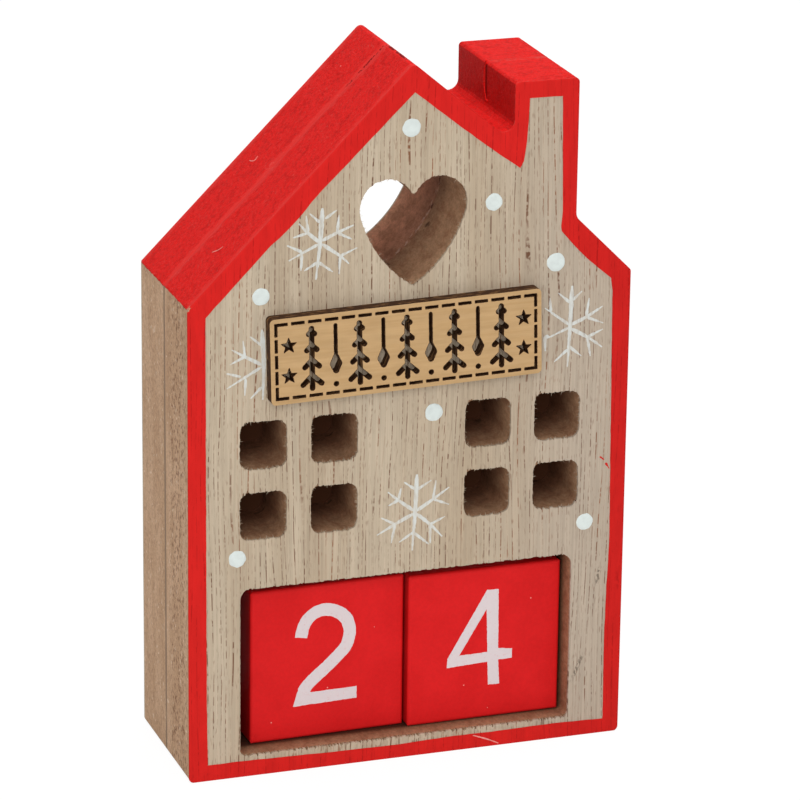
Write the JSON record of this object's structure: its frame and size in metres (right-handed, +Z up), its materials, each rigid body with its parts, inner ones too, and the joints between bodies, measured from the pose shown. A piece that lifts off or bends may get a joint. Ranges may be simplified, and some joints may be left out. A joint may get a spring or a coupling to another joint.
{
  "type": "advent calendar",
  "caption": "House-shaped wooden advent calendar with a chimney, heart hole, blind windows, a pierced plaque and loose number blocks that slide in an open bay",
  "frame": {"origin": "on the base, in the middle of the house's width, in the plane where the two boards meet", "axes": "+Z up, the house's front faces -Y, +X to the right of a viewer who faces the front"},
  "size_m": [0.1, 0.045, 0.1576],
  "materials": {
    "veneer": "pale limed veneer with dark pores",
    "fibreboard": "bare sawn fibreboard",
    "plywood": "laser-cut plywood with scorched edges",
    "red_painted_wood": "satin red paint",
    "white_paint": "matt white paint of the dots, snowflakes and numerals"
  },
  "bodies": {
    "house": {"back_face_veneer": "veneer", "back_board_core": "fibreboard", "back_inner_veneer": "veneer", "front_inner_veneer": "veneer", "front_board_core": "fibreboard", "front_face_veneer": "veneer", "plaque": "plywood"},
    "left_block": {"number_block_left": "red_painted_wood"},
    "right_block": {"number_block_right": "red_painted_wood"}
  },
  "joints": [
    {"name": "left_block_pull", "type": "slide", "parent": "house", "child": "left_block", "axis": [0, -1, 0], "range_m": [-0.032, 0.043]},
    {"name": "right_block_pull", "type": "slide", "parent": "house", "child": "right_block", "axis": [0, -1, 0], "range_m": [-0.0327, 0.0413]}
  ]
}
